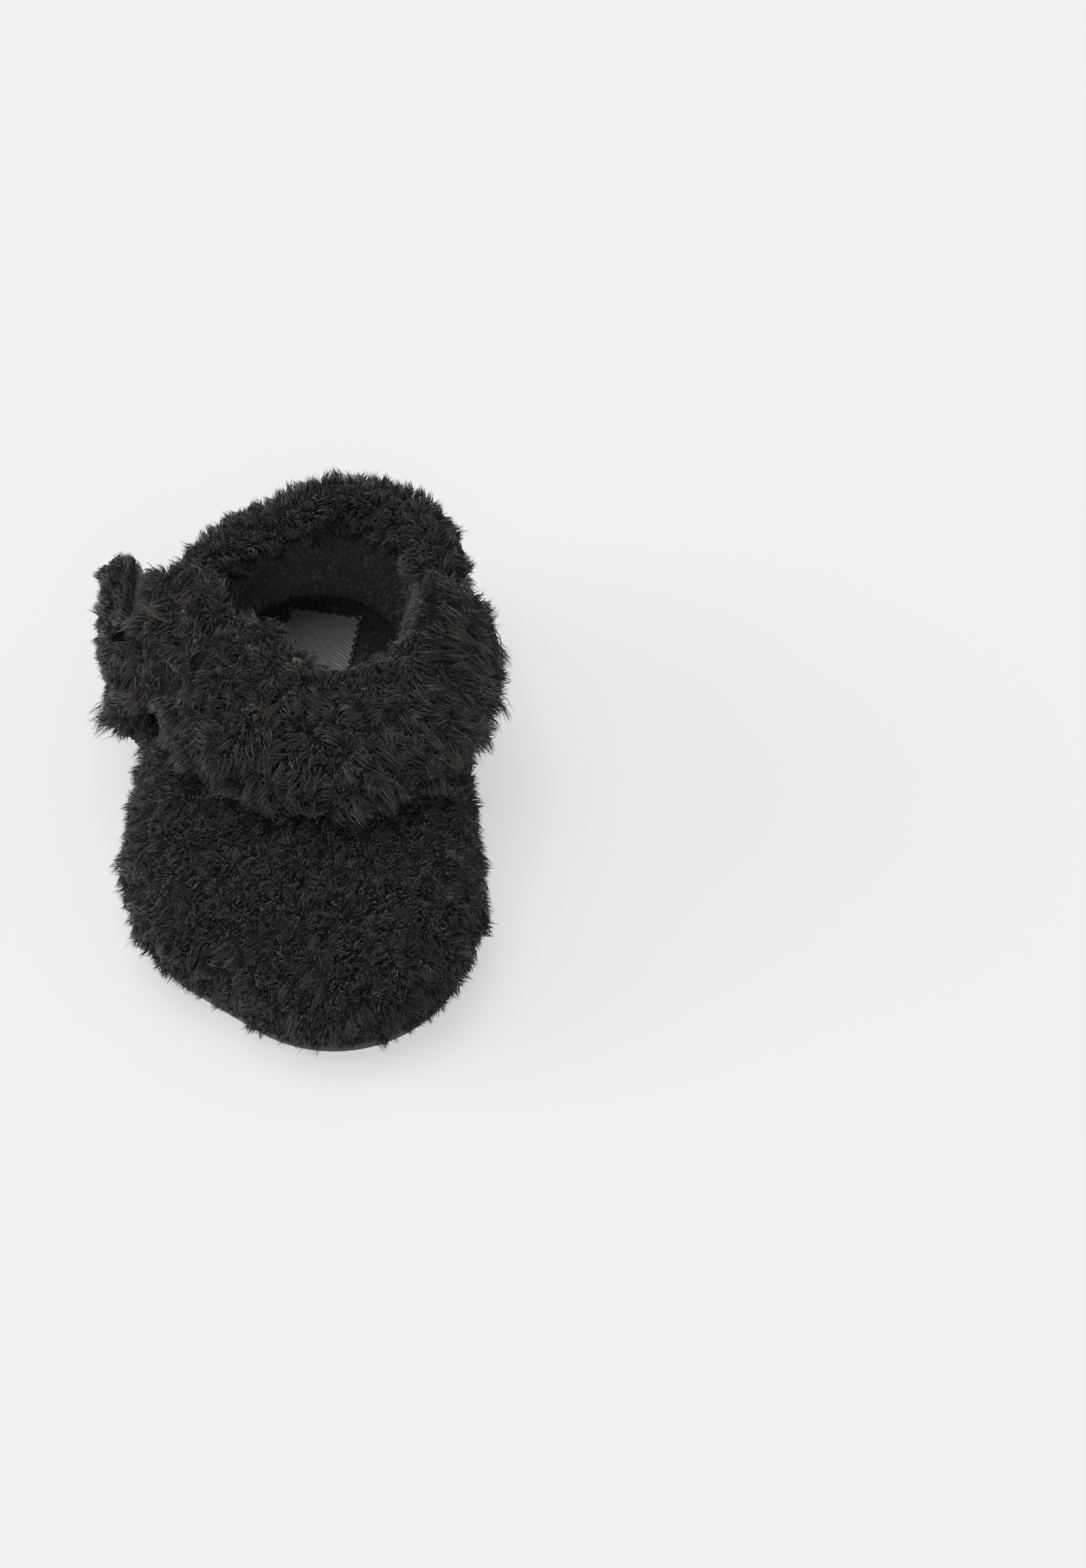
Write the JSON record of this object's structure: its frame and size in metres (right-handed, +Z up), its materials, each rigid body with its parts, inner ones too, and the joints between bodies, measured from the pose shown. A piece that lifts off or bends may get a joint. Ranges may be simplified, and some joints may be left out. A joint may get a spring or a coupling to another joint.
{
  "type": "baby bootie",
  "caption": "Rounded pile-fleece baby bootie with a padded heel collar, a lifting instep band and a touch-fastened side tab.",
  "frame": {"origin": "underside of the outsole, halfway along it", "axes": "+Z up, toe along -Y, little-toe side with the tab along -X"},
  "size_m": [0.0808, 0.1212, 0.0523],
  "materials": {
    "curly_pile": "short curly charcoal pile fleece",
    "long_pile": "longer streaky charcoal pile fleece",
    "short_pile": "short charcoal pile lining",
    "backing_knit": "brushed warp knit",
    "wadding": "bonded polyester wadding",
    "foam": "soft foam sheet",
    "outsole_suede": "split suede",
    "label_satin": "grey satin twill",
    "thread": "black polyester sewing thread",
    "loop_tape": "brushed nylon loops",
    "hook_tape": "moulded nylon hooks"
  },
  "bodies": {
    "shoe": {"outsole": "outsole_suede", "sole_seam_thread": "thread", "midsole_foam": "foam", "footbed": "short_pile", "woven_label": "label_satin", "label_stitching": "thread", "vamp_shell": "curly_pile", "vamp_lining": "short_pile", "heel_shell": "curly_pile", "heel_lining": "short_pile", "collar_cover": "long_pile", "collar_padding": "wadding", "loop_tape": "loop_tape", "loop_tape_stitching": "thread", "band_root": "long_pile", "band_root_lining": "backing_knit"},
    "strap": {"instep_band": "long_pile", "band_padding": "wadding", "band_lining": "backing_knit"},
    "tab": {"fastening_tab": "long_pile", "tab_backing": "backing_knit", "hook_tape": "hook_tape", "hook_tape_stitching": "thread"}
  },
  "joints": [
    {"name": "band_lift", "type": "hinge", "parent": "shoe", "child": "strap", "pos_m": [0.03502, -0.0108, 0.03768], "axis": [0, 0.9703, 0.2419], "range_deg": [0, 100]},
    {"name": "tab_peel", "type": "hinge", "parent": "strap", "child": "tab", "pos_m": [-0.0408, 0.0046, 0.0245], "axis": [0, 0, 1], "range_deg": [0, 95]}
  ]
}
